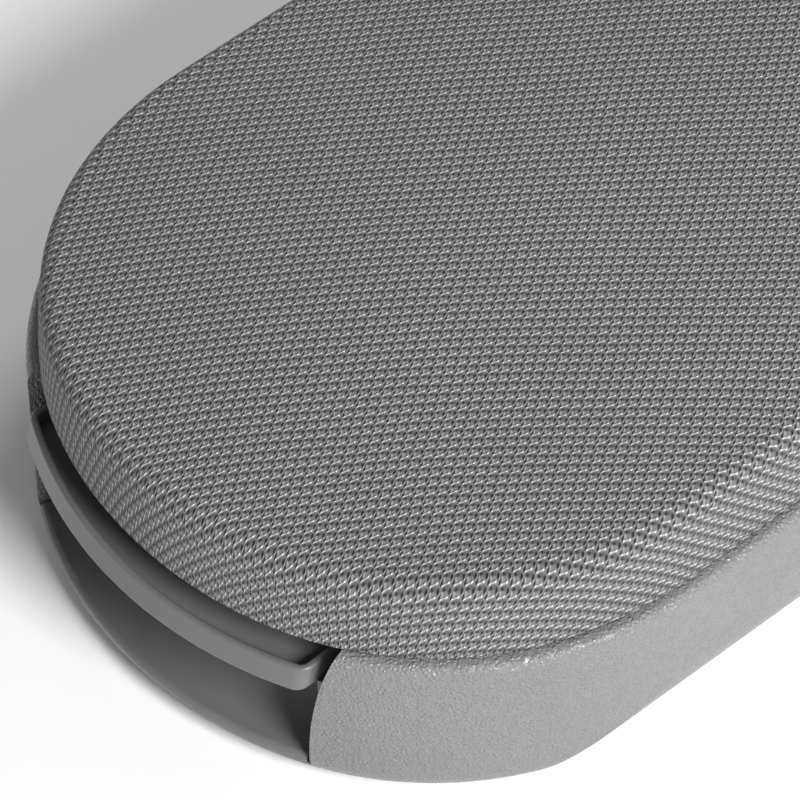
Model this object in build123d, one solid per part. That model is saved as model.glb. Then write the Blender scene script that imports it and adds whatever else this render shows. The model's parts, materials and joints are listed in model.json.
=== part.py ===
"""Padded storage armrest: a moulded tub, a fabric-covered lid hinged at the rear, and a front release lever.

Frame: +X to the right, +Y to the rear, +Z up. The origin is the centre of the four mounting inserts,
on the flat underside. Lengths are in millimetres and angles in degrees.
"""
from build123d import *
import os
from math import asin, cos, degrees, radians, sin, tan

# Plan outline of the pad, shared by the lid and the tub. Arcs are angles from the front.
half_width = 60.0
pad_length = 280.0
nose_ratio = 17 / 15
shoulder_ratio = 31 / 30
nose_arc = 22.0
shoulder_arc = 68.0
rear_corner_r = 24.0

# Tub shell.
base_height = 33.5
ledge = 2.6
wall = 2.4
floor = 2.4
front_round = 7.0
side_round = 16.0
shoulder_round = 1.6

# Mouth in the front of the shell. Its sides lean together towards the rear and spread towards the top; each
# level pairs a share of the mouth's height with a share of the spread.
mouth_lip_height = 4.6
mouth_clear = 0.2
mouth_spread = 4.5
mouth_lean = 18.0
mouth_levels = ((0.0, 0.0), (0.35, 0.06), (0.7, 0.42), (1.0, 1.0))
mouth_skin = 4.0

# Finger scoop and the deck behind it.
scoop_wall = 1.8
scoop_share = 0.74
scoop_flat = 1.5
scoop_side_gap = 0.6
cheek_arc = 1.6
cheek_gap_arc = 0.8
deck_drop = 1.2
deck_wall = 2.0

# Storage tray.
tray_side_gap = 14.0
tray_rear_gap = 28.0
tray_front_gap = 4.0
tray_corner_r = 14.0
tray_floor_r = 5.0
tray_wall = 1.8
tray_lift = 1.6
flange_drop = 3.3
flange_wall = 1.8
mat_wall = 1.5
mat_rib = 0.6
rib_pitch = 12

# Lid.
part_gap = 0.5
fabric_t = 1.0
carrier_wall = 3.0
hem_width = 10.0
pad_side_height = 15.0
pad_crown = 5.0
pad_edge_round = 3.0
panel_wall = 1.5
panel_inset = 1.5
staple_gap = 0.5
staple_count = 26
staple_wire = 0.7
staple_width = 8.0

# Release lever, its bracket and its pin.
lever_half_width = 33.1
lever_drop = 4.0
lever_height = 4.8
lever_rim_out = 2.9
lever_lip_out = 4.1
lever_wall = 2.0
lever_rim_wall = 1.3
lever_corner_r = 2.6
lever_low_round = 0.8
lever_rim_round = 0.5
lever_sector = 50.0
pivot_behind = 10.5
pivot_drop = 1.1
pivot_pin_r = 2.0
arm_gap = 1.2
arm_wall = 3.0
arm_length = 13.0
arm_boss_r = 3.4
bracket_wall = 1.8
bracket_inset = 3.6
rivet_r = 1.2
spring_wire = 0.4
spring_turns = 6

# Hook and keeper.
hook_half_width = 8.0
hook_wall = 2.0
hook_reach = 3.2
hook_flange = 1.5
shank_front = 5.0
keeper_wall = 2.0
keeper_overlap = 2.0
keeper_depth = 10.0
keeper_side = 8.0
catch_gap = 0.3
slot_clear = 2.0

# Rear hinge.
hinge_back = 6.5
hinge_drop = 0.1
hinge_pin_r = 1.5
knuckle_r = 3.0
leaf_wall = 1.5
leaf_drop = 25.4
tongue_half_width = 15.2
knuckle_gap = 0.6
bush_wall = 0.5
bush_length = 11.0

# Mounting inserts and small fasteners.
mount_half_x = 30.0
mount_half_y = 60.0
insert_bore_r = 2.5
insert_r = 4.0
insert_length = 8.0
insert_boss_r = 7.5
screw_r = 1.5
screw_head_r = 2.9
screw_head_h = 1.4
screw_boss_r = 3.8
screw_hole = 12.0
edge_inset = 6.5
run_clear = 0.05
shell_clear = 0.2
fit_clear = 0.5

# Heights worked out from the sizes above.
open_top = base_height + 5
lid_z = base_height + part_gap
carrier_z = lid_z + fabric_t
foam_z = carrier_z + carrier_wall
panel_z = lid_z - staple_gap - panel_wall
lever_rim_z = base_height - lever_drop
lever_bottom_z = lever_rim_z - lever_height
lever_floor_z = lever_bottom_z + lever_wall
pivot_z = lever_rim_z - pivot_drop
deck_top = lever_bottom_z - deck_drop
keeper_top = deck_top - deck_wall
hook_z = keeper_top - keeper_wall - fit_clear - hook_wall
flange_top = base_height - flange_drop
tray_floor_z = insert_length + tray_lift
hinge_z = base_height - hinge_drop

# Radii and places in plan worked out from the sizes above.
front_y = -pad_length / 2
rear_y = pad_length / 2
nose_r = half_width * nose_ratio
shoulder_r = half_width * shoulder_ratio
nose_y = front_y + nose_r
nose_sin, shoulder_sin = sin(radians(nose_arc)), sin(radians(shoulder_arc))
corner_r = (half_width - nose_r * nose_sin - shoulder_r * (1 - shoulder_sin)) / (shoulder_sin - nose_sin)
scoop_round = scoop_share * (deck_top - mouth_lip_height)
scoop_depth = scoop_round + scoop_flat
scoop_back_r = nose_r - scoop_depth + ledge
mouth_half = lever_half_width + mouth_clear
scoop_arc = degrees(asin((mouth_half - scoop_side_gap) / (nose_r + ledge)))
mouth_y = nose_y - (nose_r + ledge) * cos(radians(scoop_arc))
pivot_y = front_y + scoop_depth + pivot_behind
deck_end_y = pivot_y + 10
tray_half_width = half_width - tray_side_gap
bracket_half_width = lever_half_width - bracket_inset
arm_x = bracket_half_width - bracket_wall - arm_gap - arm_wall / 2
shank_y = pivot_y - shank_front
keeper_edge_y = shank_y + hook_wall / 2 + hook_reach + catch_gap
keeper_half_width = hook_half_width + keeper_side
hinge_y = rear_y + hinge_back
outer_rear_y = rear_y + ledge
leaf_half_width = half_width - rear_corner_r - 4


def plan(offset=0.0, z=0.0):
    """Plan outline moved outwards by offset: nose, corner and shoulder arcs, straight sides, rear corners."""
    a1, a2 = radians(nose_arc), radians(shoulder_arc)
    corner_c = Vector(0, nose_y) + (nose_r - corner_r) * Vector(sin(a1), -cos(a1))
    shoulder_c = corner_c + (corner_r - shoulder_r) * Vector(sin(a2), -cos(a2))
    rear_c = Vector(half_width - rear_corner_r, rear_y - rear_corner_r)
    nose = CenterArc((0, nose_y), nose_r + offset, -90, nose_arc)
    corner = CenterArc(corner_c, corner_r + offset, nose_arc - 90, shoulder_arc - nose_arc)
    shoulder = CenterArc(shoulder_c, shoulder_r + offset, shoulder_arc - 90, 90 - shoulder_arc)
    rear = CenterArc(rear_c, rear_corner_r + offset, 0, 90)
    side = Line(shoulder @ 1, rear @ 0)
    back = Line(rear @ 1, (0, rear_y + offset))
    half = Curve() + [nose, corner, shoulder, side, rear, back]
    return Pos(0, 0, z) * make_face(half + mirror(half, Plane.YZ))


def prism(offset, z0, z1):
    """Plan outline raised from z0 to z1."""
    return extrude(plan(offset, z0), amount=z1 - z0, dir=(0, 0, 1))


def block(x0, x1, y0, y1, z0, z1):
    """Box between two corners."""
    return Pos((x0 + x1) / 2, (y0 + y1) / 2, (z0 + z1) / 2) * Box(x1 - x0, y1 - y0, z1 - z0)


def rod(x, y, z0, z1, radius):
    """Upright cylinder."""
    return Pos(x, y, (z0 + z1) / 2) * Cylinder(radius, z1 - z0)


def cross_rod(x0, x1, y, z, radius):
    """Cylinder along X between two places, given in either order."""
    return Pos((x0 + x1) / 2, y, z) * Rot(0, 90, 0) * Cylinder(radius, abs(x1 - x0))


def y_rod(x, y0, y1, z, radius):
    """Cylinder along Y."""
    return Pos(x, (y0 + y1) / 2, z) * Rot(90, 0, 0) * Cylinder(radius, y1 - y0)


def level_edges(part, z):
    """Edges of a part that lie at one height."""
    return part.edges().filter_by_position(Axis.Z, z - 0.01, z + 0.01)


def sector(outline, start, end):
    """Turn a flat outline, x as radius and y as height, about the nose centre from one angle to another."""
    a = radians(start)
    plane = Plane(origin=(0, nose_y, 0), x_dir=(sin(a), -cos(a), 0), z_dir=(-cos(a), -sin(a), 0))
    return revolve(plane * outline, Axis((0, nose_y, 0), (0, 0, 1)), end - start)


def tub_solid(inset, bottom, top=open_top):
    """Rounded body of the tub: the plan outline cut by a trough that is more rounded along its sides."""
    body = prism(ledge - inset, bottom, top)
    body = fillet(level_edges(body, bottom), front_round - inset)
    reach = half_width + ledge - inset
    trough = block(-reach, reach, 2 * front_y, 2 * rear_y, bottom, top + 5)
    trough = fillet(trough.edges().filter_by(Axis.Y).group_by(Axis.Z)[0], side_round - inset)
    return body & trough


def mouth_tool():
    """Tool that opens the front of the shell, with sides that lean in plan and spread towards the top."""
    lean = tan(radians(mouth_lean))
    top_z = base_height + 1
    y0, y1 = mouth_y - 16, mouth_y + 40
    sections = []
    for height, share in mouth_levels:
        z = mouth_lip_height + height * (top_z - mouth_lip_height)
        half = mouth_half + share * mouth_spread
        near, far = half + (mouth_y - y0) * lean, half - (y1 - mouth_y) * lean
        corners = (-near, y0, z), (near, y0, z), (far, y1, z), (-far, y1, z)
        sections.append(make_face(Polyline(*corners, close=True)))
    return loft(sections)


def side_points(xs, ys):
    """Every pairing of the given X and Y places."""
    return [(x, y) for x in xs for y in ys]


edge_xs = (edge_inset - half_width, half_width - edge_inset)
deck_xs = (-0.72 * half_width, 0.72 * half_width)
panel_xs = (8 - tray_half_width, tray_half_width - 8)
leaf_xs = (8 - leaf_half_width, leaf_half_width - 8)
bracket_xs = (5 - arm_x, arm_x - 5)
keeper_xs = (3.5 - keeper_half_width, keeper_half_width - 3.5)
insert_points = side_points((-mount_half_x, mount_half_x), (-mount_half_y, mount_half_y))
tray_points = side_points(edge_xs, (deck_end_y + 30, 10.0, rear_y - 40))
stop_points = side_points(edge_xs, (deck_end_y + 14, rear_y - 24))
deck_points = side_points(deck_xs, (deck_end_y - 9,))
panel_points = side_points(panel_xs, (deck_end_y + 18, 10.0, rear_y - 42))
leaf_screw_points = side_points(leaf_xs, (rear_y - 17,))
rear_screw_points = side_points(leaf_xs, (hinge_z - leaf_drop + 5, hinge_z - 9.4))
bracket_points = side_points(bracket_xs, (pivot_y + 3.0,))
keeper_points = side_points(keeper_xs, (keeper_edge_y + 6.5,))
rivet_points = side_points((3 - hook_half_width, hook_half_width - 3), (shank_y - 5.0,))


def make_base_shell():
    outer = tub_solid(0.0, 0.0, base_height)
    outer = fillet(level_edges(outer, base_height), shoulder_round)
    shell = outer - tub_solid(wall, floor)
    shell -= mouth_tool() - tub_solid(wall + mouth_skin, -1.0)
    within = tub_solid(wall / 2, floor / 2)
    for x, y in insert_points:
        shell += rod(x, y, floor / 2, insert_length, insert_boss_r) - rod(x, y, 0, insert_length, insert_r)
        shell -= rod(x, y, -1, insert_length + 1, insert_r)
    for x, y in tray_points:
        shell += rod(x, y, floor / 2, flange_top - flange_wall, screw_boss_r) & within
        shell -= rod(x, y, flange_top - screw_hole, flange_top, screw_r)
    for x, y in deck_points:
        shell += rod(x, y, floor / 2, keeper_top, screw_boss_r)
        shell -= rod(x, y, keeper_top - screw_hole, keeper_top, screw_r)
    for x, z in rear_screw_points:
        shell += y_rod(x, rear_y - 7, rear_y + 1, z, screw_boss_r) & within
        shell -= y_rod(x, rear_y - 15, rear_y + 15, z, screw_r)
    notch = tongue_half_width + 1.3
    shell -= block(-notch, notch, rear_y - 5, rear_y + 10, hinge_z - 1.6, base_height + 1)
    return shell


def scoop_outline():
    """Section of the scoop: a rounded lip, one hollow curve and an upright back wall."""
    lip_r = nose_r + ledge - 0.3
    low_r = scoop_back_r + scoop_round
    lip_z = mouth_lip_height + 0.1
    lip_top = lip_z + scoop_wall
    mid_z = lip_top + scoop_round
    t = scoop_wall
    lines = [Line((lip_r, lip_z), (lip_r, lip_top)), Line((lip_r, lip_top), (low_r, lip_top)),
             CenterArc((low_r, mid_z), scoop_round, -90, -90),
             Line((scoop_back_r, mid_z), (scoop_back_r, deck_top)),
             Line((scoop_back_r, deck_top), (scoop_back_r - t, deck_top)),
             Line((scoop_back_r - t, deck_top), (scoop_back_r - t, mid_z)),
             CenterArc((low_r, mid_z), scoop_round + t, 180, 90), Line((low_r, lip_z), (lip_r, lip_z))]
    section = make_face(Curve() + lines)
    return fillet(section.vertices().group_by(Axis.X)[-1].group_by(Axis.Y)[-1], 1.0)


def make_finger_scoop():
    cheek_r = nose_r + ledge - wall - fit_clear
    cheek_z = front_round - 1.3
    cheek = make_face(Polyline((scoop_back_r - scoop_wall, cheek_z), (cheek_r, cheek_z), (cheek_r, deck_top),
                               (scoop_back_r - scoop_wall, deck_top), close=True))
    reach_arc = scoop_arc + cheek_gap_arc
    inside = tub_solid(wall + shell_clear, floor + shell_clear)
    scoop = sector(scoop_outline(), -scoop_arc, scoop_arc)
    scoop += [sector(cheek, a, a + cheek_arc) & inside for a in (-reach_arc - cheek_arc, reach_arc)]
    scoop += sector(scoop_inner_outline(), -reach_arc - 0.2, reach_arc + 0.2) & inside
    deck = prism(ledge - wall - fit_clear, keeper_top, deck_top)
    deck &= block(-half_width, half_width, front_y - 5, deck_end_y, 0, base_height)
    hollow = make_face(Polyline((scoop_back_r - 0.5, 0), (2 * nose_r, 0), (2 * nose_r, open_top),
                                (scoop_back_r - 0.5, open_top), close=True))
    deck -= sector(hollow, -reach_arc - 0.5, reach_arc + 0.5)
    scoop += deck
    slot_front = shank_y - hook_wall / 2 - slot_clear - 1.5
    slot_half = hook_half_width + slot_clear
    slot_rear = keeper_edge_y + keeper_overlap
    scoop -= block(-slot_half, slot_half, slot_front, slot_rear, keeper_top - 1, deck_top + 1)
    for x, y in keeper_points + deck_points:
        scoop -= rod(x, y, keeper_top - 1, deck_top + 1, screw_r)
    return scoop


def scoop_inner_outline():
    """The part of the scoop section that lies inside the shell wall, so that it reaches the cheeks."""
    reach = nose_r + ledge - wall - 1.6
    inside = make_face(Polyline((0, 0), (reach, 0), (reach, open_top), (0, open_top), close=True))
    return scoop_outline() & inside


def make_keeper_plate():
    half, y0 = keeper_half_width, keeper_edge_y
    plate = block(-half, half, y0, y0 + keeper_depth, keeper_top - keeper_wall, keeper_top)
    for x, y in keeper_points:
        plate -= rod(x, y, 0, deck_top, screw_r)
    return fillet(plate.edges().filter_by(Axis.Z).group_by(Axis.Y)[-1], 3.0)


def tray_well(inset, z0, z1):
    """Rounded well of the tray, drawn inwards by inset."""
    y0, y1 = deck_end_y + tray_front_gap + inset, rear_y - tray_rear_gap - inset
    x = tray_half_width - inset
    well = block(-x, x, y0, y1, z0, z1)
    return fillet(well.edges().filter_by(Axis.Z), tray_corner_r - inset)


def make_storage_tray():
    flange = prism(ledge - wall - fit_clear, flange_top - flange_wall, flange_top)
    flange &= block(-half_width, half_width, deck_end_y + fit_clear, rear_y + 5, 0, base_height)
    well = tray_well(0, tray_floor_z, flange_top)
    well = fillet(level_edges(well, tray_floor_z), tray_floor_r)
    hollow = tray_well(tray_wall, tray_floor_z + tray_wall, flange_top + 5)
    hollow = fillet(level_edges(hollow, tray_floor_z + tray_wall), tray_floor_r - tray_wall)
    tray = flange + well - hollow
    for x, y in tray_points:
        tray -= rod(x, y, flange_top - 5, flange_top + 1, screw_r)
    return tray


def make_tray_mat():
    z0 = tray_floor_z + tray_wall
    mat = tray_well(tray_wall + tray_floor_r - 1, z0, z0 + mat_wall)
    half = tray_half_width - tray_corner_r
    first, last = int(deck_end_y + tray_corner_r) + 10, int(rear_y - tray_rear_gap - tray_corner_r)
    ribs = [block(-half, half, y - 1, y + 1, z0, z0 + mat_wall + mat_rib)
            for y in range(first, last, rib_pitch)]
    return mat + ribs


def screws(points, head_z, length, down=True):
    """Pan-head screws; the head's seat is at head_z and the shank points down or up."""
    way = -1 if down else 1
    group = []
    for x, y in points:
        seat = sorted((head_z, head_z + way * length))
        head = sorted((head_z, head_z - way * screw_head_h))
        screw = rod(x, y, *seat, screw_r) + rod(x, y, *head, screw_head_r)
        rim = level_edges(screw, head_z - way * screw_head_h)
        group.append(fillet(rim, 0.6) - cross_recess(x, y, head_z - way * screw_head_h))
    return Compound(children=group)


def cross_recess(x, y, z):
    """Cross-shaped driver recess."""
    return Pos(x, y, z) * (Box(2.6, 0.7, 1.2) + Box(0.7, 2.6, 1.2))


def make_threaded_inserts():
    group = []
    for x, y in insert_points:
        bore = rod(x, y, -1, insert_length + 1, insert_bore_r)
        group.append(rod(x, y, 0, insert_length, insert_r) - bore)
    return Compound(children=group)


def make_bump_stops():
    top = panel_z - 0.2
    return Compound(children=[fillet(level_edges(rod(x, y, flange_top, top, 3.6), top), 0.3)
                              for x, y in stop_points])


def knuckle_spans():
    """X spans of the lid knuckle and of the two base knuckles."""
    inner = tongue_half_width + knuckle_gap
    return (-tongue_half_width, tongue_half_width), ((-leaf_half_width, -inner), (inner, leaf_half_width))


def make_hinge_base_leaf():
    _, spans = knuckle_spans()
    y0 = outer_rear_y
    leaf = block(-leaf_half_width, leaf_half_width, y0, y0 + leaf_wall, hinge_z - leaf_drop, hinge_z - 2.4)
    for x0, x1 in spans:
        leaf += block(x0, x1, y0, y0 + leaf_wall, hinge_z - 3, hinge_z)
        leaf += block(x0, x1, y0, hinge_y, hinge_z - leaf_wall, hinge_z)
        leaf += cross_rod(x0, x1, hinge_y, hinge_z, knuckle_r)
    for x0, x1 in spans:
        leaf -= cross_rod(x0 - 1, x1 + 1, hinge_y, hinge_z, hinge_pin_r)
    for x, z in rear_screw_points:
        leaf -= y_rod(x, y0 - 5, y0 + 5, z, screw_r)
    return leaf


def make_hinge_base_screws():
    group = []
    for x, z in rear_screw_points:
        seat = outer_rear_y + leaf_wall
        shank = y_rod(x, seat - 10, seat, z, screw_r)
        head = y_rod(x, seat, seat + screw_head_h, z, screw_head_r)
        recess = Pos(x, seat + screw_head_h, z) * (Box(2.6, 1.2, 0.7) + Box(0.7, 1.2, 2.6))
        group.append(shank + head - recess)
    return Compound(children=group)


def make_hinge_pin():
    reach = leaf_half_width + 0.8
    pin = cross_rod(-reach, reach, hinge_y, hinge_z, hinge_pin_r)
    ends = [cross_rod(s * reach, s * (reach + 1.2), hinge_y, hinge_z, hinge_pin_r + 0.7) for s in (-1, 1)]
    return pin + ends


def make_hinge_lid_leaf():
    (x0, x1), _ = knuckle_spans()
    z1 = lid_z
    leaf = block(-leaf_half_width, leaf_half_width, rear_y - 23, rear_y - 1.2, z1 - leaf_wall, z1)
    leaf += block(x0, x1, rear_y - 4, hinge_y, z1 - leaf_wall, z1)
    leaf += cross_rod(x0, x1, hinge_y, hinge_z, knuckle_r)
    leaf -= cross_rod(x0 - 1, x1 + 1, hinge_y, hinge_z, hinge_pin_r + run_clear + bush_wall)
    for x, y in leaf_screw_points:
        leaf -= rod(x, y, 0, foam_z, screw_r)
    return leaf


def make_hinge_bushes():
    bore = hinge_pin_r + run_clear
    group = []
    for side in (-1, 1):
        end = side * tongue_half_width
        bush = cross_rod(end - side * bush_length, end, hinge_y, hinge_z, bore + bush_wall)
        bush += cross_rod(end, end + side * (knuckle_gap - 0.2), hinge_y, hinge_z, knuckle_r - 0.2)
        group.append(bush - cross_rod(end - side * 20, end + side * 5, hinge_y, hinge_z, bore))
    return Compound(children=group)


def pad_solid(inset, bottom):
    """Crowned pad: the plan outline under a long shallow dome with round ends, its top edge rounded."""
    top = lid_z + pad_side_height + pad_crown - inset
    dome_r = (half_width**2 + pad_crown**2) / (2 * pad_crown)
    run = rear_y - half_width
    dome = Pos(0, 0, top - dome_r) * Rot(90, 0, 0) * Cylinder(dome_r, 2 * run)
    dome += [Pos(0, end * run, top - dome_r) * Sphere(dome_r) for end in (-1, 1)]
    pad = prism(-inset, bottom, top + 5) & dome
    walls = pad.faces().filter_by(lambda face: abs(face.normal_at().Z) < 0.01)
    rim = walls.edges().filter_by(lambda edge: min((edge @ 0).Z, (edge @ 1).Z) > foam_z + 1)
    return fillet(rim, pad_edge_round - inset)


def make_pad_carrier():
    carrier = prism(-fabric_t, carrier_z, foam_z) + prism(-hem_width - 0.2, lid_z, carrier_z)
    for x, y in leaf_screw_points + bracket_points + panel_points:
        carrier -= rod(x, y, lid_z - 1, foam_z + 1, screw_r)
    return carrier


def make_foam_pad():
    return pad_solid(fabric_t, foam_z)


def make_fabric_cover():
    skin = pad_solid(0, lid_z) - pad_solid(fabric_t, carrier_z)
    return skin - prism(-hem_width, lid_z - 1, carrier_z + 0.01)


def make_staples():
    """Upholstery staples that hold the fabric hem, evenly spaced along it and clear of the hinge leaf."""
    path = plan(-hem_width / 2 - 0.5, lid_z).faces()[0].outer_wire()
    leg_x = (staple_width - staple_wire) / 2
    group = []
    for i in range(staple_count):
        t = (i + 0.5) / staple_count
        spot, way = path.position_at(t), path.tangent_at(t)
        if spot.Y > rear_y - 26 and abs(spot.X) < leaf_half_width + 6:
            continue
        plane = Plane(origin=spot, x_dir=way, z_dir=(0, 0, 1))
        crown = Pos(0, 0, -0.2) * Box(staple_width, staple_wire, 0.4)
        legs = [Pos(s * leg_x, 0, 1.4) * Box(staple_wire, staple_wire, 3.2) for s in (-1, 1)]
        group.append(plane * (crown + legs))
    return Compound(children=group)


def make_inner_panel():
    panel = prism(-panel_inset, panel_z, panel_z + panel_wall)
    panel += prism(-hem_width - 0.5, panel_z + panel_wall, lid_z)
    panel -= block(-half_width, half_width, front_y - 5, deck_end_y + 2, 0, foam_z)
    notch = leaf_half_width + fit_clear
    panel -= block(-notch, notch, rear_y - 23.5, rear_y + 5, 0, foam_z)
    for x, y in panel_points:
        panel -= rod(x, y, 0, foam_z, screw_r)
    return panel


def lever_block(inset, bottom, top):
    """Curved front block of the lever: a flared outer face, ends square to X and rounded front corners."""
    back_r = nose_y - pivot_y - 2
    slope = (lever_lip_out - lever_rim_out) / (lever_rim_z - lever_bottom_z)
    low, high = [nose_r + lever_rim_out - inset + slope * (lever_rim_z - z) for z in (bottom, top)]
    section = make_face(Polyline((back_r, bottom), (low, bottom), (high, top), (back_r, top), close=True))
    end = lever_half_width - inset
    solid = sector(section, -lever_sector, lever_sector)
    solid &= block(-end, end, front_y - 20, pivot_y, bottom, top)
    return fillet(lever_corners(solid, end), lever_corner_r - inset)


def lever_corners(solid, end):
    """Upright edges where the lever's ends meet its outer face."""
    return [edge for edge in solid.edges() if abs(abs(edge.center().X) - end) < 0.1
            and edge.center().Y < pivot_y - 15 and abs((edge @ 0).Z - (edge @ 1).Z) > 1]


def make_release_lever():
    lever = lever_block(0, lever_bottom_z, lever_rim_z)
    lever = fillet(level_edges(lever, lever_bottom_z).filter_by(GeomType.CIRCLE), lever_low_round)
    lever -= lever_block(lever_rim_wall, lever_floor_z, lever_rim_z + 2)
    rim = level_edges(lever, lever_rim_z).filter_by(lambda edge: edge.center().Y < pivot_y - 5)
    lever = fillet(rim, lever_rim_round)
    back = pivot_y - arm_boss_r - fit_clear
    lever &= block(-half_width, half_width, front_y - 20, back, 0, base_height)
    for s in (-1, 1):
        lever -= lever_end_tool(s, back)
    for x in (-arm_x, arm_x):
        x0, x1 = x - arm_wall / 2, x + arm_wall / 2
        lever += block(x0, x1, pivot_y - arm_length, pivot_y, lever_bottom_z + 1, pivot_z + 1.5)
        lever += cross_rod(x0, x1, pivot_y, pivot_z, arm_boss_r)
        lever -= cross_rod(x0 - 1, x1 + 1, pivot_y, pivot_z, pivot_pin_r + run_clear)
    half = hook_half_width
    lever -= block(-half, half, shank_y - hook_wall / 2, pivot_y, 0, lever_floor_z)
    for x, y in rivet_points:
        lever -= rod(x, y, 0, foam_z, rivet_r)
    return lever


def lever_end_tool(side, back):
    """Tool that slopes the top and rear of one end wall, where it passes inside the shell."""
    x0, x1 = sorted((side * (lever_half_width - lever_rim_wall - 1), side * (lever_half_width + 1)))
    y0, low, high = mouth_y + 1, lever_bottom_z - 1, lever_rim_z + 1
    profile = make_face(Polyline((x0, y0, low), (x0, y0, lever_bottom_z), (x0, y0 + 6, lever_rim_z - 1.5),
                                 (x0, y0 + 6.5, high), (x0, back + 1, high), (x0, back + 1, low), close=True))
    return extrude(profile, amount=x1 - x0, dir=(1, 0, 0))


def make_latch_hook():
    half, t = hook_half_width, hook_wall
    front, top = shank_y - t / 2, lever_floor_z + hook_flange
    hook = block(-half, half, front - 8, front + t, lever_floor_z, top)
    hook += block(-half, half, front, front + t, hook_z, top)
    hook += block(-half, half, front, front + t + hook_reach, hook_z, hook_z + t)
    for x, y in rivet_points:
        hook -= rod(x, y, 0, foam_z, rivet_r)
    return hook


def make_hook_rivets():
    head_z = lever_floor_z + hook_flange
    group = []
    for x, y in rivet_points:
        head = rod(x, y, head_z, head_z + 0.8, rivet_r + 1)
        group.append(rod(x, y, lever_bottom_z, head_z, rivet_r) + head)
    return Compound(children=group)


def make_lever_bracket():
    w, t = bracket_half_width, bracket_wall
    bracket = block(-w, w, pivot_y - 7, pivot_y + 7, lid_z - t, lid_z)
    for s in (-1, 1):
        x0, x1 = sorted((s * (w - t), s * w))
        bracket += block(x0, x1, pivot_y - 5, pivot_y + 5, pivot_z, lid_z)
        bracket += cross_rod(x0, x1, pivot_y, pivot_z, arm_boss_r + 0.6)
        bracket -= cross_rod(x0 - 1, x1 + 1, pivot_y, pivot_z, pivot_pin_r)
    for x, y in bracket_points:
        bracket -= rod(x, y, 0, foam_z, screw_r)
    return bracket


def make_lever_pin():
    reach = bracket_half_width + 0.6
    pin = cross_rod(-reach, reach, pivot_y, pivot_z, pivot_pin_r)
    head_r = pivot_pin_r + 0.8
    return pin + [cross_rod(s * reach, s * (reach + 1.0), pivot_y, pivot_z, head_r) for s in (-1, 1)]


def wire_leg(x, start, end, wire):
    """Straight round wire in a plane across X, between two (y, z) places."""
    run = Vector(0, end[0] - start[0], end[1] - start[1])
    return Plane(origin=(x, *start), z_dir=run) * Pos(0, 0, run.length / 2) * Cylinder(wire, run.length)


def make_return_spring():
    """Torsion spring round the pin, midway between the hook and the bracket's screws, with a leg on each part."""
    wire, coil_r = spring_wire, pivot_pin_r + 1.0
    pitch = 2.4 * wire
    length = spring_turns * pitch
    x = (hook_half_width + bracket_xs[1] - screw_head_r - length) / 2
    coil = Helix(pitch=pitch, height=length, radius=coil_r)
    spring = sweep(Plane(origin=coil @ 0, z_dir=coil % 0) * Circle(wire), coil)
    spring = Pos(x, pivot_y, pivot_z) * Rot(0, 90, 0) * spring
    top = (pivot_y, pivot_z + coil_r)
    front = wire_leg(x, top, (pivot_y - 10, lever_floor_z + wire), wire)
    rear = wire_leg(x + length, top, (pivot_y + 6, lid_z - bracket_wall - wire), wire)
    return spring + front + rear


def build():
    """Every node by name."""
    return {
        "base_shell": make_base_shell(),
        "finger_scoop": make_finger_scoop(),
        "deck_screws": screws(deck_points, deck_top, 9.0),
        "keeper_plate": make_keeper_plate(),
        "keeper_screws": screws(keeper_points, deck_top, deck_wall + keeper_wall),
        "storage_tray": make_storage_tray(),
        "tray_mat": make_tray_mat(),
        "tray_screws": screws(tray_points, flange_top, 9.0),
        "threaded_inserts": make_threaded_inserts(),
        "bump_stops": make_bump_stops(),
        "hinge_base_leaf": make_hinge_base_leaf(),
        "hinge_base_screws": make_hinge_base_screws(),
        "hinge_pin": make_hinge_pin(),
        "pad_carrier": make_pad_carrier(),
        "foam_pad": make_foam_pad(),
        "fabric_cover": make_fabric_cover(),
        "staples": make_staples(),
        "inner_panel": make_inner_panel(),
        "panel_screws": screws(panel_points, panel_z, 5.0, down=False),
        "hinge_lid_leaf": make_hinge_lid_leaf(),
        "hinge_lid_screws": screws(leaf_screw_points, lid_z - leaf_wall, 5.0, down=False),
        "hinge_bushes": make_hinge_bushes(),
        "lever_bracket": make_lever_bracket(),
        "bracket_screws": screws(bracket_points, lid_z - bracket_wall, 5.0, down=False),
        "lever_pin": make_lever_pin(),
        "return_spring": make_return_spring(),
        "release_lever": make_release_lever(),
        "latch_hook": make_latch_hook(),
        "hook_rivets": make_hook_rivets(),
    }


os.makedirs("parts", exist_ok=True)
for node, shape in build().items():
    export_step(shape, f"parts/{node}.step")
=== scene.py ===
"""Padded storage armrest: materials, the knitted cover and its foam, light, floor and camera."""
import json
import math

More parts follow.
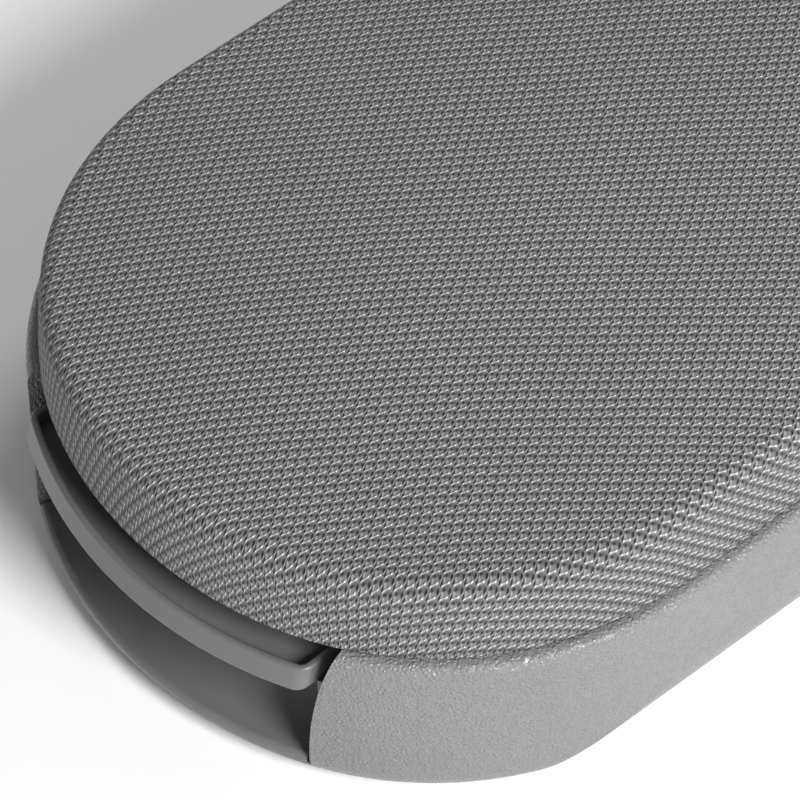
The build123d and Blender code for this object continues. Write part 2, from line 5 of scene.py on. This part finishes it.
import bmesh
import bpy
import numpy as np
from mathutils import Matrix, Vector


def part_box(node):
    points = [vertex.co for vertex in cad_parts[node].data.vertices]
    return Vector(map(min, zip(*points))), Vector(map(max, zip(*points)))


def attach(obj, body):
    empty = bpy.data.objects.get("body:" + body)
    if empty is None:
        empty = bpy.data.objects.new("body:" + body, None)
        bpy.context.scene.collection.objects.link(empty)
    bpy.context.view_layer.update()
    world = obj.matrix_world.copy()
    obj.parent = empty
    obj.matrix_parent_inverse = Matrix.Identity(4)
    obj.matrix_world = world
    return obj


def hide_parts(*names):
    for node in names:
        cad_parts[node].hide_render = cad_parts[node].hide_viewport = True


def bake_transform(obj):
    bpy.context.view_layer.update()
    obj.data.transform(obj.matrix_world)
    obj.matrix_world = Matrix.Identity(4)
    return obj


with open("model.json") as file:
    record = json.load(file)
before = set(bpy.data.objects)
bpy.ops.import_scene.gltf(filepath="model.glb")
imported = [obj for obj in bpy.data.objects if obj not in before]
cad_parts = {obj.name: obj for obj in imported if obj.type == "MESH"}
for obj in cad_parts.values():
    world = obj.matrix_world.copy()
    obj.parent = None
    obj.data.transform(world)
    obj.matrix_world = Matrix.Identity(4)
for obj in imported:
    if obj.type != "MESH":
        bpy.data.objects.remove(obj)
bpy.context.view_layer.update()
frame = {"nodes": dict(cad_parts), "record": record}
nodes = frame["nodes"]

# ---------------------------------------------------------------- sizes shared with the CAD, in metres
HALF_WIDTH = 0.060
NOSE_R, SHOULDER_R = 0.068, 0.062
NOSE_ARC, SHOULDER_ARC = math.radians(22), math.radians(68)
REAR_R = 0.024
COVER_LO, COVER_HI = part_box("fabric_cover")
FRONT_Y, REAR_Y = COVER_LO.y, COVER_HI.y
NOSE_Y = FRONT_Y + NOSE_R
LID_Z, TOP_Z = COVER_LO.z, COVER_HI.z
CROWN = 0.005
HEM = 0.010
FABRIC_T = 0.001
SIDE_STRETCH = 1.35   # the knit is pulled longer down the pad's sides
EDGE_R = 0.0034       # rounding of the pad's top edge
SHELF = 0.020         # depth in from the outline where the rings start to close on the spine
BULGE = 0.0005        # how far the cloth swells out near the seam
EDGE_WAVE = 0.00012   # height of the slow wave along the top edge
RING_POINTS = 460


# ---------------------------------------------------------------- node helpers
class Graph:
    """Small wrapper that makes shader nodes in one line each."""

    def __init__(self, name):
        self.material = bpy.data.materials.new(name)
        self.material.use_nodes = True
        self.tree = self.material.node_tree
        self.bsdf = self.tree.nodes["Principled BSDF"]

    def add(self, kind, **values):
        node = self.tree.nodes.new(kind)
        for key, value in values.items():
            setattr(node, key, value)
        return node

    def put(self, socket, value):
        """Link a socket's output to an input, or set a constant on it."""
        if isinstance(value, bpy.types.NodeSocket):
            self.tree.links.new(value, socket)
        else:
            socket.default_value = value

    def math(self, op, a, b=0.0, c=0.0):
        node = self.add("ShaderNodeMath", operation=op)
        for socket, value in zip(node.inputs, (a, b, c)):
            self.put(socket, value)
        return node.outputs[0]

    def vector(self, op, a, b=(0, 0, 0), c=(0, 0, 0), out=0):
        node = self.add("ShaderNodeVectorMath", operation=op)
        for socket, value in zip(node.inputs, (a, b, c)):
            self.put(socket, value)
        return node.outputs[out]

    def ramp(self, value, low, high):
        """Smooth rise from 0 at low to 1 at high."""
        node = self.add("ShaderNodeMapRange", interpolation_type="SMOOTHSTEP")
        for socket, v in zip(node.inputs, (value, low, high, 0.0, 1.0)):
            self.put(socket, v)
        return node.outputs[0]

    def noise(self, where, scale, detail=3.0, rough=0.5, out="Fac"):
        node = self.add("ShaderNodeTexNoise")
        self.put(node.inputs["Vector"], where)
        node.inputs["Scale"].default_value = scale
        node.inputs["Detail"].default_value = detail
        node.inputs["Roughness"].default_value = rough
        return node.outputs[out]

    def cells(self, where, scale, feature="F1", out="Distance"):
        node = self.add("ShaderNodeTexVoronoi", feature=feature)
        self.put(node.inputs["Vector"], where)
        node.inputs["Scale"].default_value = scale
        return node.outputs[out]

    def place(self):
        """Object coordinates, which stay with the piece when it moves."""
        return self.add("ShaderNodeTexCoord").outputs["Object"]

    def mix(self, factor, a, b):
        node = self.add("ShaderNodeMix", data_type="RGBA")
        self.put(node.inputs[0], factor)
        self.put(node.inputs[6], a)
        self.put(node.inputs[7], b)
        return node.outputs[2]

    def grey(self, value):
        """A grey colour from a number."""
        node = self.add("ShaderNodeCombineColor")
        for socket in node.inputs:
            self.put(socket, value)
        return node.outputs[0]

    def bump(self, height, distance, strength=1.0):
        node = self.add("ShaderNodeBump")
        self.put(node.inputs["Height"], height)
        node.inputs["Distance"].default_value = distance
        node.inputs["Strength"].default_value = strength
        return node.outputs[0]

    def finish(self, colour, roughness, normal=None, **constants):
        self.put(self.bsdf.inputs["Base Color"], colour)
        self.put(self.bsdf.inputs["Roughness"], roughness)
        if normal is not None:
            self.put(self.bsdf.inputs["Normal"], normal)
        for key, value in constants.items():
            self.bsdf.inputs[key.replace("_", " ")].default_value = value
        return self.material


def grained_plastic():
    """Moulded plastic with a fine leather grain: pebbles, the creases between them darkened with painted
    shade, and small glossy tops.
    """
    g = Graph("grained_plastic")
    p = g.place()
    warp = g.noise(p, 700.0, 2.0, out="Color")
    moved = g.vector("MULTIPLY_ADD", warp, (0.0007,) * 3, p)
    pebble = g.cells(moved, 1350.0, "SMOOTH_F1")
    crease = g.ramp(g.cells(moved, 1350.0, "DISTANCE_TO_EDGE"), 0.02, 0.40)
    wave = g.noise(p, 520.0, 4.0, 0.60)
    fine = g.noise(p, 3200.0, 2.0)
    height = g.math("ADD", g.math("MULTIPLY", crease, 0.55), g.math("MULTIPLY", wave, 0.9))
    height = g.math("ADD", height, g.math("MULTIPLY", g.math("SUBTRACT", 1.0, pebble), 0.35))
    height = g.math("ADD", height, g.math("MULTIPLY", fine, 0.10))
    tone = g.math("ADD", g.math("MULTIPLY", g.noise(p, 55.0, 3.0), 0.026), 0.182)
    # painted shade: the pebble tops are lighter and the creases between them darker
    tone = g.math("ADD", tone, g.math("MULTIPLY", crease, 0.020))
    rough = g.math("SUBTRACT", 0.42, g.math("MULTIPLY", wave, 0.20))
    return g.finish(g.grey(tone), rough, g.bump(height, 0.00026, 0.9), Specular_IOR_Level=0.5)


def smooth_plastic():
    """Satin moulded plastic, almost smooth, with a faint spark-eroded texture and small tone changes."""
    g = Graph("smooth_plastic")
    p = g.place()
    fine = g.noise(p, 3400.0, 2.0)
    slow = g.noise(p, 70.0, 3.0)
    tone = g.math("ADD", 0.120, g.math("MULTIPLY", slow, 0.020))
    rough = g.math("ADD", 0.27, g.math("MULTIPLY", fine, 0.10))
    return g.finish(g.grey(tone), rough, g.bump(fine, 0.000012, 0.5), Specular_IOR_Level=0.5)


def inner_plastic():
    """Matt black moulded plastic with a sandy texture."""
    g = Graph("inner_plastic")
    p = g.place()
    sand = g.cells(p, 1900.0, "SMOOTH_F1")
    slow = g.noise(p, 60.0, 3.0)
    tone = g.math("ADD", 0.012, g.math("MULTIPLY", slow, 0.010))
    rough = g.math("ADD", 0.52, g.math("MULTIPLY", sand, 0.16))
    return g.finish(g.grey(tone), rough, g.bump(sand, 0.00004, 0.6), Specular_IOR_Level=0.4)


def rubber():
    """Matt black rubber with a mottled bloom."""
    g = Graph("mat_rubber")
    p = g.place()
    bloom = g.noise(p, 140.0, 4.0, 0.65)
    fine = g.noise(p, 2200.0, 2.0)
    tone = g.math("ADD", 0.014, g.math("MULTIPLY", bloom, 0.014))
    rough = g.math("ADD", 0.72, g.math("MULTIPLY", bloom, 0.14))
    return g.finish(g.grey(tone), rough, g.bump(fine, 0.00002, 0.5), Specular_IOR_Level=0.3)


def bush_plastic():
    """Natural acetal, faintly warm, with fine turning marks."""
    g = Graph("bush_plastic")
    p = g.place()
    slow = g.noise(p, 160.0, 3.0)
    colour = g.mix(slow, (0.58, 0.57, 0.52, 1), (0.70, 0.69, 0.64, 1))
    fine = g.noise(p, 2800.0, 2.0)
    return g.finish(colour, g.math("ADD", 0.36, g.math("MULTIPLY", slow, 0.12)), g.bump(fine, 0.00001, 0.4))


def foam():
    """Open-cell foam, darker in the low grooves between the cells as painted shade."""
    g = Graph("pad_foam")
    p = g.place()
    pores = g.cells(p, 1300.0, "SMOOTH_F1")
    slow = g.noise(p, 60.0, 3.0)
    # painted shade: the colour darkens where the bump is low, between the cells
    colour = g.mix(g.ramp(pores, 0.15, 0.65), (0.60, 0.56, 0.45, 1), (0.34, 0.31, 0.24, 1))
    colour = g.mix(g.math("MULTIPLY", slow, 0.25), colour, (0.66, 0.62, 0.50, 1))
    return g.finish(colour, 0.95, g.bump(g.math("SUBTRACT", 1.0, pores), 0.0003, 0.8), Specular_IOR_Level=0.1)


def zinc_steel():
    """Zinc-plated steel: cloudy plating with faint rolling lines and duller patches."""
    g = Graph("zinc_steel")
    p = g.place()
    spangle = g.cells(p, 420.0, "F1", "Color")
    value = g.add("ShaderNodeSeparateColor")
    g.put(value.inputs[0], spangle)
    patch = g.noise(p, 120.0, 4.0, 0.6)
    lines = g.noise(g.vector("MULTIPLY", p, (1.0, 26.0, 26.0)), 260.0, 2.0)
    colour = g.mix(g.math("MULTIPLY", value.outputs[0], 0.5), (0.50, 0.51, 0.52, 1), (0.62, 0.61, 0.58, 1))
    rough = g.math("ADD", 0.26, g.math("MULTIPLY", patch, 0.22))
    return g.finish(colour, rough, g.bump(lines, 0.000008, 0.4), Metallic=1.0)


def bright_steel():
    """Ground steel with fine lines round the rod."""
    g = Graph("bright_steel")
    p = g.place()
    lines = g.noise(g.vector("MULTIPLY", p, (30.0, 1.0, 1.0)), 300.0, 2.0)
    colour = g.mix(lines, (0.55, 0.56, 0.57, 1), (0.66, 0.66, 0.67, 1))
    rough = g.math("ADD", 0.16, g.math("MULTIPLY", lines, 0.14))
    return g.finish(colour, rough, g.bump(lines, 0.000006, 0.5), Metallic=1.0)


def insert_brass():
    """Turned brass, slightly tarnished."""
    g = Graph("insert_brass")
    p = g.place()
    tarnish = g.noise(p, 260.0, 4.0, 0.6)
    colour = g.mix(g.ramp(tarnish, 0.35, 0.75), (0.62, 0.44, 0.17, 1), (0.34, 0.22, 0.09, 1))
    rings = g.noise(g.vector("MULTIPLY", p, (1.0, 1.0, 20.0)), 400.0, 2.0)
    rough = g.math("ADD", 0.24, g.math("MULTIPLY", tarnish, 0.25))
    return g.finish(colour, rough, g.bump(rings, 0.00001, 0.5), Metallic=1.0)


# The knit repeats in a centred rectangle: 2.1 mm across the pad and 2.72 mm along it.
KNIT_X, KNIT_Y = 2.10, 2.72
# Parts of one repeat, in mm from the knee: centre, half length, half width, turn (degrees), height, tone. The
# tone is painted light: painted highlight on the raised yarn and thread, painted shade in the eyes and
# hollows.
KNIT = (
    ((-0.47, 0.92), 0.56, 0.14, -48, 0.50, 0.60),     # ground yarn, slanting up and back
    ((-0.01, 0.10), 0.27, 0.16, 82, 0.80, 1.00),      # its upright knee
    ((0.16, 0.62), 0.46, 0.13, 74, 0.80, 0.85),       # link from the knee to the loop
    ((0.31, 1.10), 0.25, 0.16, 100, 1.00, 1.15),      # head of the raised loop
    ((-0.99, 0.55), 0.36, 0.17, -62, -0.90, -2.10),   # open eye, outer side
    ((-0.60, 0.38), 0.26, 0.08, -62, 0.30, 0.90),     # thread across the eye
    ((-0.31, 0.20), 0.36, 0.12, -60, -0.75, -1.80),   # open eye, inner side
    ((0.42, -0.04), 0.28, 0.20, 80, -0.80, -1.60),    # hollow beside the knee
    ((0.62, 0.45), 0.42, 0.30, 60, -0.30, -0.50),     # shallow ground behind it
)


def knit_fabric():
    """Knitted mesh. The UV map holds millimetres on the cloth, so the knit keeps its size down the sides."""
    g = Graph("mesh_fabric")
    uv = g.add("ShaderNodeUVMap", uv_map="Cloth").outputs[0]
    p = g.place()
    drift = g.noise(p, 38.0, 2.0, out="Color")
    uv = g.vector("MULTIPLY_ADD", g.vector("SUBTRACT", drift, (0.5, 0.5, 0.5)), (0.9, 0.9, 0.0), uv)
    jitter = g.noise(p, 900.0, 1.0, out="Color")
    uv = g.vector("MULTIPLY_ADD", g.vector("SUBTRACT", jitter, (0.5, 0.5, 0.5)), (0.16, 0.16, 0.0), uv)
    step = g.vector("DIVIDE", uv, (KNIT_X, KNIT_Y, 1.0))
    along = g.vector("DOT_PRODUCT", step, (1, 1, 0), out=1)
    across = g.vector("DOT_PRODUCT", step, (-1, 1, 0), out=1)
    join = g.add("ShaderNodeCombineXYZ")
    g.put(join.inputs[0], along)
    g.put(join.inputs[1], across)
    cell = join.outputs[0]
    height, tone = 0.0, 0.0
    for (x, y), length, width, turn, rise, light in KNIT:
        a = math.radians(turn)
        s, t = x / KNIT_X + y / KNIT_Y, y / KNIT_Y - x / KNIT_X
        wrap = g.add("ShaderNodeVectorMath", operation="WRAP")
        g.put(wrap.inputs[0], g.vector("SUBTRACT", cell, (s, t, 0)))
        wrap.inputs[1].default_value = (0.5, 0.5, 1.0)
        wrap.inputs[2].default_value = (-0.5, -0.5, -1.0)
        # back from the skew cell to millimetres, then along and across this part
        cx, sx = KNIT_X / 2 * math.cos(a), KNIT_X / 2 * math.sin(a)
        cy, sy = KNIT_Y / 2 * math.cos(a), KNIT_Y / 2 * math.sin(a)
        ux, vx = (cx + sy, -cx + sy), (-sx + cy, sx + cy)
        u = g.vector("DOT_PRODUCT", wrap.outputs[0], (ux[0] / length, ux[1] / length, 0), out=1)
        v = g.vector("DOT_PRODUCT", wrap.outputs[0], (vx[0] / width, vx[1] / width, 0), out=1)
        r2 = g.math("MULTIPLY_ADD", u, u, g.math("MULTIPLY", v, v))
        blob = g.math("EXPONENT", g.math("MULTIPLY", g.math("MULTIPLY_ADD", r2, r2, r2), -0.45))
        height = g.math("MULTIPLY_ADD", blob, rise, height)
        # painted light: each part's tone adds a painted highlight on raised yarn or painted shade in eyes and
        # hollows
        tone = g.math("MULTIPLY_ADD", blob, light, tone)
    fibre = g.noise(uv, 6.0, 2.0, 0.6)
    wear = g.noise(p, 26.0, 3.0)
    height = g.math("ADD", height, g.math("MULTIPLY", fibre, 0.25))
    base = g.math("ADD", 0.126, g.math("MULTIPLY", wear, 0.028))
    tone = g.math("ADD", tone, g.math("MULTIPLY_ADD", fibre, 0.8, -0.4))
    colour = g.grey(g.math("MULTIPLY", base, g.math("EXPONENT", g.math("MULTIPLY", tone, 1.2))))
    rough = g.math("SUBTRACT", 0.78, g.math("MULTIPLY", height, 0.10))
    return g.finish(colour, rough, g.bump(height, 0.00022, 1.0), Specular_IOR_Level=0.35, Sheen_Weight=0.12,
                    Sheen_Roughness=0.5)


MATERIALS = {
    "grained_plastic": grained_plastic(), "smooth_plastic": smooth_plastic(),
    "inner_plastic": inner_plastic(),
    "mat_rubber": rubber(), "bush_plastic": bush_plastic(), "pad_foam": foam(), "zinc_steel": zinc_steel(),
    "bright_steel": bright_steel(), "insert_brass": insert_brass(), "mesh_fabric": knit_fabric(),
}

slot_of = {part["node"]: part["material_slot"] for part in frame["record"]["subparts"]}
for name, node in nodes.items():
    node.data.materials.clear()
    node.data.materials.append(MATERIALS[slot_of[name]])


# ---------------------------------------------------------------- pad: plan outline and soft surface
def outline(count):
    """Points and outward normals evenly spaced round the pad's plan outline, starting at the rear centre."""
    sn, ss = math.sin(NOSE_ARC), math.sin(SHOULDER_ARC)
    corner_r = (HALF_WIDTH - NOSE_R * sn - SHOULDER_R * (1 - ss)) / (ss - sn)
    nose_c = np.array([0.0, NOSE_Y])
    corner_c = nose_c + (NOSE_R - corner_r) * np.array([math.sin(NOSE_ARC), -math.cos(NOSE_ARC)])
    shoulder_way = np.array([math.sin(SHOULDER_ARC), -math.cos(SHOULDER_ARC)])
    shoulder_c = corner_c + (corner_r - SHOULDER_R) * shoulder_way
    rear_c = np.array([HALF_WIDTH - REAR_R, REAR_Y - REAR_R])
    runs = ((nose_c, NOSE_R, 0.0, NOSE_ARC), (corner_c, corner_r, NOSE_ARC, SHOULDER_ARC),
            (shoulder_c, SHOULDER_R, SHOULDER_ARC, math.pi / 2), (rear_c, REAR_R, math.pi / 2, math.pi))
    dense = []
    for centre, radius, a0, a1 in runs:
        for a in np.linspace(a0, a1, 200):
            way = np.array([math.sin(a), -math.cos(a)])
            dense.append((centre + radius * way, way))
    dense.append((np.array([0.0, REAR_Y]), np.array([0.0, 1.0])))
    mirrored = [(np.array([-q[0], q[1]]), np.array([-w[0], w[1]])) for q, w in dense[::-1]]
    whole = mirrored + dense[1:]
    points = np.array([q for q, _ in whole])
    ways = np.array([w for _, w in whole])
    run = np.r_[0, np.cumsum(np.hypot(*np.diff(points, axis=0).T))]
    at = np.linspace(0, run[-1], count, endpoint=False)
    pos = np.c_[np.interp(at, run, points[:, 0]), np.interp(at, run, points[:, 1])]
    nrm = np.c_[np.interp(at, run, ways[:, 0]), np.interp(at, run, ways[:, 1])]
    nrm /= np.hypot(*nrm.T)[:, None]
    return pos, nrm, run[-1]


def dome(x, y):
    """Height of the pad's crowned top: a long shallow dome with round ends."""
    radius = (HALF_WIDTH**2 + CROWN**2) / (2 * CROWN)
    past = np.maximum(np.abs(y) - (REAR_Y - HALF_WIDTH), 0)
    return TOP_Z - radius + np.sqrt(radius**2 - x**2 - past**2)


def wobble(run, period, seed):
    """Slow uneven wave round the pad, from -1 to 1, that closes on itself."""
    angle = 2 * np.pi * run / period
    waves = ((7, 1.0, 1), (11, 0.7, 2), (17, 0.5, 3))
    total = sum(size for _, size, _ in waves)
    return sum(size * np.sin(n * angle + k * seed) for n, size, k in waves) / total


def make_pad(name, inset, hem):
    """Soft pad. Rings run from the turned-under hem out to the seam, up the side, over the edge and in.

    The UV map unrolls the cloth in millimetres: plan position on top, and the run down the side added
    outwards, shortened where the knit is stretched.
    """
    count = RING_POINTS
    pos, nrm, length = outline(count)
    run = np.linspace(0, length, count, endpoint=False)
    soft = wobble(run, length, 0.8)
    edge_r = EDGE_R - inset * 0.5
    lip = edge_r + inset
    rim = pos - nrm * lip
    rim_z = dome(rim[:, 0], rim[:, 1]) - inset - edge_r + EDGE_WAVE * soft

    def ring(depth, height):
        """Ring of points at a depth in from the outline; both values may vary round the ring."""
        return np.c_[pos - nrm * np.reshape(depth, (-1, 1)), np.broadcast_to(height, count)]

    rows = []
    if hem:
        rows.append(ring(hem, LID_Z + FABRIC_T))
        rows += [ring(d, LID_Z) for d in np.linspace(hem, 0.0010, 5)]
        rows.append(ring(-0.0002, LID_Z - 0.0002))
    else:
        rows.append(ring(inset, LID_Z + 0.004))
    foot = LID_Z + (-0.0001 if hem else 0.004)
    for t in np.linspace(0, 1, 14):
        bulge = BULGE * (1 - max(0.0, t - 0.35) / 0.65) ** 0.7 * (1 + 0.25 * soft)
        rows.append(ring(inset + 0.0001 - bulge, foot + (rim_z - foot) * t ** 1.4))
    for a in np.linspace(0, math.pi / 2, 10)[1:]:
        rows.append(ring(inset + 0.0001 + edge_r * (1 - math.cos(a)), rim_z + edge_r * math.sin(a)))
    top_start = len(rows) - 1
    base = pos - nrm * SHELF
    spine = np.c_[np.zeros(count), np.clip(base[:, 1], NOSE_Y - 0.002, REAR_Y - HALF_WIDTH)]
    edge = rows[-1]
    for d in np.linspace(lip, SHELF, 12)[1:]:
        plan = pos - nrm * d
        share = (d - lip) / (SHELF - lip)
        lift = edge[:, 2] - dome(edge[:, 0], edge[:, 1])
        rows.append(np.c_[plan, dome(plan[:, 0], plan[:, 1]) - inset * share + lift * (1 - share)])
    for k in np.linspace(0, 0.985, 24)[1:]:
        plan = base + (spine - base) * k
        rows.append(np.c_[plan, dome(plan[:, 0], plan[:, 1]) - inset])
    grid = np.array(rows)
    cloth = np.zeros(grid.shape[:2] + (2,))
    cloth[top_start:] = grid[top_start:, :, :2]
    for r in range(top_start - 1, -1, -1):
        gap = np.linalg.norm(grid[r] - grid[r + 1], axis=1)
        cloth[r] = cloth[r + 1] + nrm * gap[:, None] / SIDE_STRETCH

    rings = grid.shape[0]
    faces = []
    for r in range(rings - 1):
        for c in range(count):
            low, high, after = r * count, (r + 1) * count, (c + 1) % count
            faces.append((low + c, low + after, high + after, high + c))
    me = bpy.data.meshes.new(name)
    me.from_pydata(grid.reshape(-1, 3).tolist(), [], faces)
    bm = bmesh.new()
    bm.from_mesh(me)
    bm.verts.ensure_lookup_table()
    layer = bm.loops.layers.uv.new("Cloth")
    flat = cloth.reshape(-1, 2) * 1000.0
    bm.faces.new([bm.verts[(rings - 1) * count + c] for c in range(count)])
    if not hem:
        bm.faces.new([bm.verts[c] for c in reversed(range(count))])
    bmesh.ops.recalc_face_normals(bm, faces=bm.faces)
    if max(bm.faces, key=lambda f: f.calc_center_median().z).normal.z < 0:
        bmesh.ops.reverse_faces(bm, faces=bm.faces)
    for face in bm.faces:
        face.smooth = True
        for loop in face.loops:
            loop[layer].uv = flat[loop.vert.index]
    bm.to_mesh(me)
    bm.free()
    ob = bpy.data.objects.new(name, me)
    bpy.context.scene.collection.objects.link(ob)
    return ob


cover = make_pad("knit_cover", 0.0, HEM)
cover.data.materials.append(MATERIALS["mesh_fabric"])
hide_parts("fabric_cover")
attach(cover, "lid")

foam_core = make_pad("foam_core", FABRIC_T, 0)
foam_core.data.materials.append(MATERIALS["pad_foam"])
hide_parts("foam_pad")
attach(foam_core, "lid")

# The return spring's mesh is copied into a free object with its placement baked in; the CAD spring is hidden.
spring = bpy.data.objects.new("spring_wire", nodes["return_spring"].data.copy())
bpy.context.scene.collection.objects.link(spring)
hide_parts("return_spring")
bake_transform(spring)

# ---------------------------------------------------------------- floor, light and camera
floor = bpy.data.objects.new("floor", bpy.data.meshes.new("floor"))
floor.data.from_pydata([(-6, -6, 0), (6, -6, 0), (6, 6, 0), (-6, 6, 0)], [], [(0, 1, 2, 3)])
bpy.context.scene.collection.objects.link(floor)
g = Graph("floor_paint")
g.finish(g.grey(g.math("ADD", 0.90, g.math("MULTIPLY", g.noise(g.place(), 3.0, 2.0), 0.02))), 0.9,
         Specular_IOR_Level=0.1)
floor.data.materials.append(g.material)

world = bpy.data.worlds.new("studio")
bpy.context.scene.world = world
world.use_nodes = True
world.node_tree.nodes["Background"].inputs["Color"].default_value = (1, 1, 1, 1)
world.node_tree.nodes["Background"].inputs["Strength"].default_value = 0.25


def soft_light(name, at, size, power, towards=(0.0, -0.09, 0.035)):
    lamp = bpy.data.lights.new(name, "AREA")
    lamp.shape = "DISK"
    lamp.size = size
    lamp.energy = power
    ob = bpy.data.objects.new(name, lamp)
    ob.location = at
    ob.rotation_euler = (Vector(towards) - Vector(at)).to_track_quat("-Z", "Y").to_euler()
    bpy.context.scene.collection.objects.link(ob)


soft_light("key", (1.18, -0.20, 0.92), 0.60, 31.0)
soft_light("front", (-0.15, -1.35, 0.45), 0.7, 1.2)
soft_light("back", (-0.25, 1.25, 1.1), 0.9, 10.0)

camera_data = bpy.data.cameras.new("camera")
camera_data.lens = 270.0
camera_data.sensor_width = 36.0
camera_data.clip_start, camera_data.clip_end = 0.05, 20.0
camera = bpy.data.objects.new("camera", camera_data)
bpy.context.scene.collection.objects.link(camera)
azimuth, elevation, distance = math.radians(49.04), math.radians(51.19), 0.92834
aim = Vector((0.005671, -0.092011, 0.0341))
back = Vector((math.sin(azimuth) * math.cos(elevation), -math.cos(azimuth) * math.cos(elevation),
               math.sin(elevation)))
camera.location = aim + back * distance
camera.rotation_euler = (-back).to_track_quat("-Z", "Y").to_euler()
bpy.context.scene.camera = camera

bpy.context.scene.view_settings.view_transform = "Standard"
